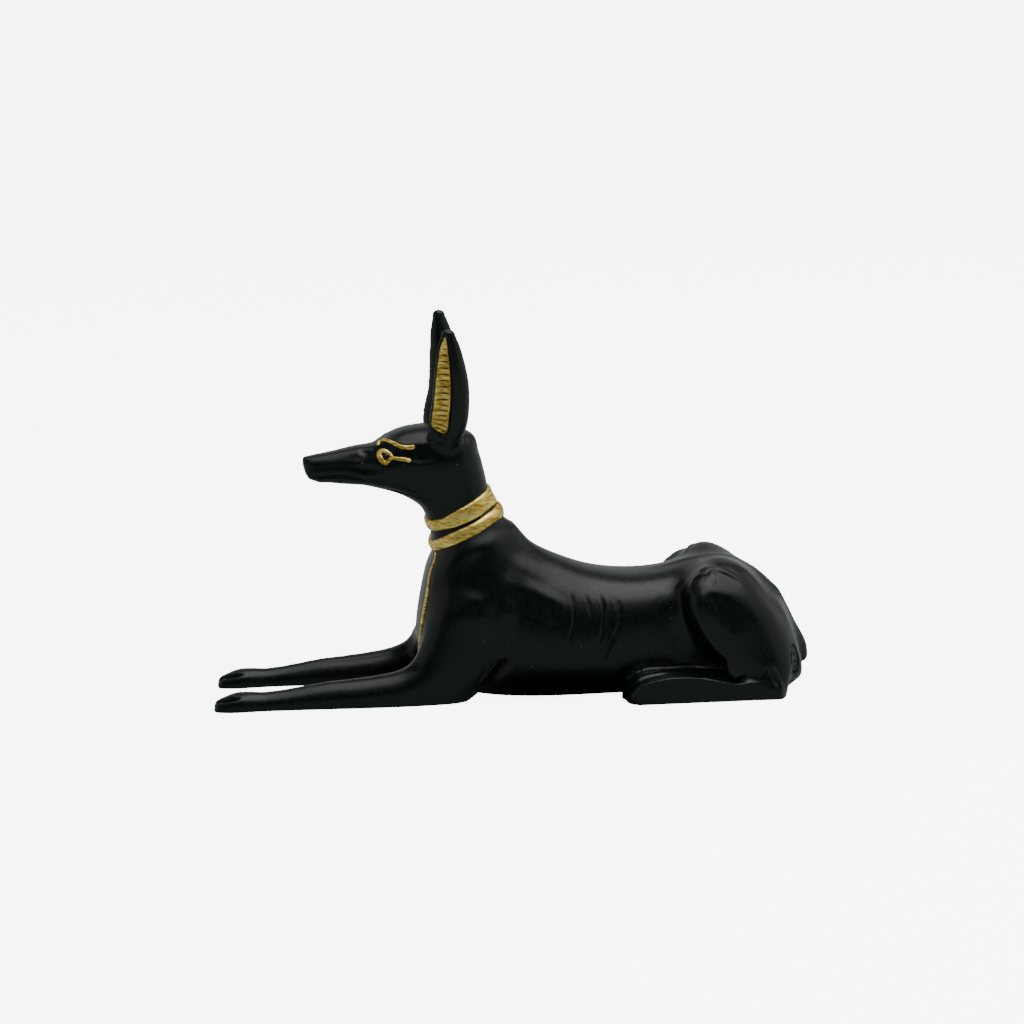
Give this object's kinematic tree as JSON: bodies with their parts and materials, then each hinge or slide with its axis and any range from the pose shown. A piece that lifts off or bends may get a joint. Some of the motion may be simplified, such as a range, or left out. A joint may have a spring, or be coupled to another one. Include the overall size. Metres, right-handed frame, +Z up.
{
  "type": "recumbent jackal figure",
  "caption": "Small cast figure of a recumbent black jackal with pricked ears, raised neck bands, a chest sash and forelegs stretched out along the ground.",
  "frame": {"origin": "middle of the flat underside, at the centre of the figure's bounding box", "axes": "+Z up, the head and the stretched forelegs point along -X, the tail along +X, the figure's left and right sides lie along Y"},
  "size_m": [0.2, 0.0592, 0.1246],
  "materials": {
    "black_resin": "cast resin with hand-brushed satin black paint, slightly worn on the high edges",
    "gold_paint": "hand-brushed antique gold paint with darker streaks, on the neck bands, ear linings, eyes, brows and the sash border"
  },
  "bodies": {
    "root": {"jackal_figure": "black_resin"}
  },
  "joints": []
}
